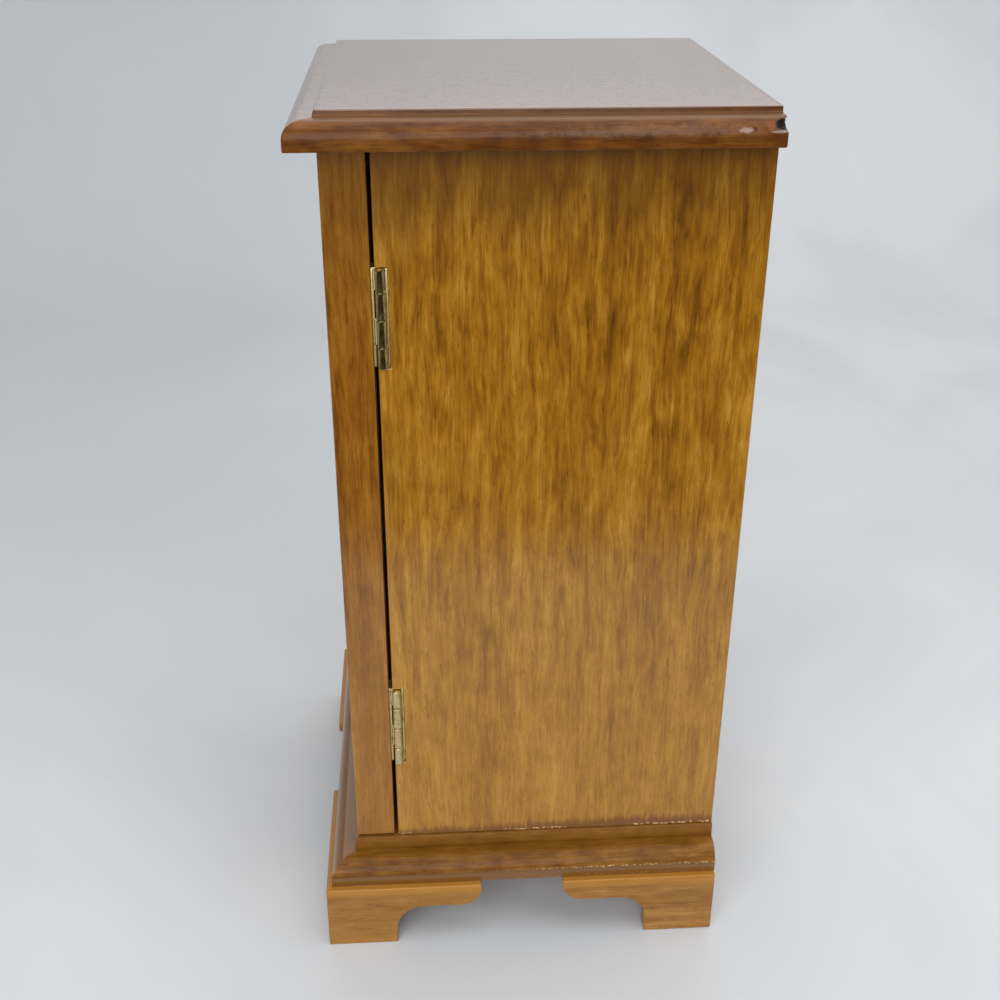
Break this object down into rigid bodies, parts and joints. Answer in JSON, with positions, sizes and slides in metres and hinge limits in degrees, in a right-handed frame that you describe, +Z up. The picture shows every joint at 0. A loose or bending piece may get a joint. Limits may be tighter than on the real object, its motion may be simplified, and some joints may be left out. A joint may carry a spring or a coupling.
{
  "type": "desktop cabinet",
  "caption": "Small free-standing wooden cabinet with a pair of hinged panelled doors, fixed shelves inside, a moulded top and base, and bracket feet.",
  "frame": {"origin": "on the table, under the middle of the cabinet's footprint", "axes": "+Z up, doors face -Y, +X to the right of someone facing the doors"},
  "size_m": [0.193, 0.1746, 0.3667],
  "materials": {
    "wood_side": "satin lacquer over golden-brown wood with vertical grain",
    "wood_top": "satin lacquer",
    "wood_base": "satin lacquer over darker red-brown wood",
    "wood_foot": "satin lacquer, grain along the length",
    "wood_door": "satin lacquer, vertical grain",
    "wood_panel": "satin lacquer, vertical grain",
    "wood_inside": "plain sealed wood",
    "brass": "lacquered brass, worn",
    "steel": "plated steel",
    "catch_body": "brown moulded catch body"
  },
  "bodies": {
    "case": {"top_board": "wood_top", "side_right": "wood_side", "side_left": "wood_side", "back_panel": "wood_inside", "case_bottom": "wood_inside", "shelf_lower": "wood_inside", "shelf_upper": "wood_inside", "top_rail_front": "wood_inside", "top_rail_back": "wood_inside", "top_screws": "steel", "back_screws": "steel", "base_frame_front": "wood_base", "base_frame_right": "wood_base", "base_frame_left": "wood_base", "base_frame_back": "wood_base", "bracket_front_right": "wood_foot", "bracket_front_left": "wood_foot", "bracket_side_front_right": "wood_foot", "bracket_side_front_left": "wood_foot", "bracket_side_back_right": "wood_foot", "bracket_side_back_left": "wood_foot", "bracket_back_right": "wood_foot", "bracket_back_left": "wood_foot", "foot_glue_blocks": "wood_inside", "catch_magnets": "catch_body", "hinge_screws_case": "brass", "hinge_case_leaf_right_upper": "brass", "hinge_case_leaf_right_lower": "brass", "hinge_case_leaf_left_upper": "brass", "hinge_case_leaf_left_lower": "brass", "hinge_pin_right_upper": "brass", "hinge_pin_right_lower": "brass", "hinge_pin_left_upper": "brass", "hinge_pin_left_lower": "brass"},
    "door_right": {"hinge_door_leaf_right_upper": "brass", "hinge_door_leaf_right_lower": "brass", "hinge_screws_door_right": "brass", "door_right_hinge_stile": "wood_door", "door_right_meeting_stile": "wood_door", "door_right_top_rail": "wood_door", "door_right_bottom_rail": "wood_door", "door_right_panel": "wood_panel", "catch_strike_right": "steel", "pull_plate_right": "brass", "pull_nut_right": "brass"},
    "door_left": {"hinge_door_leaf_left_upper": "brass", "hinge_door_leaf_left_lower": "brass", "hinge_screws_door_left": "brass", "door_left_hinge_stile": "wood_door", "door_left_meeting_stile": "wood_door", "door_left_top_rail": "wood_door", "door_left_bottom_rail": "wood_door", "door_left_panel": "wood_panel", "catch_strike_left": "steel", "pull_plate_left": "brass", "pull_nut_left": "brass"},
    "ring_right": {"pull_ring_right": "brass"},
    "ring_left": {"pull_ring_left": "brass"}
  },
  "joints": [
    {"name": "door_right_hinge", "type": "hinge", "parent": "case", "child": "door_right", "pos_m": [0.08225, -0.053, 0.20225], "axis": [0, 0, 1], "range_deg": [0, 180]},
    {"name": "door_left_hinge", "type": "hinge", "parent": "case", "child": "door_left", "pos_m": [-0.08225, -0.053, 0.20225], "axis": [0, 0, -1], "range_deg": [0, 180]},
    {"name": "ring_right_swing", "type": "hinge", "parent": "door_right", "child": "ring_right", "pos_m": [0.0095, -0.07565, 0.20225], "axis": [-1, 0, 0], "range_deg": [0, 170]},
    {"name": "ring_left_swing", "type": "hinge", "parent": "door_left", "child": "ring_left", "pos_m": [-0.0095, -0.07565, 0.20225], "axis": [-1, 0, 0], "range_deg": [0, 170]}
  ]
}
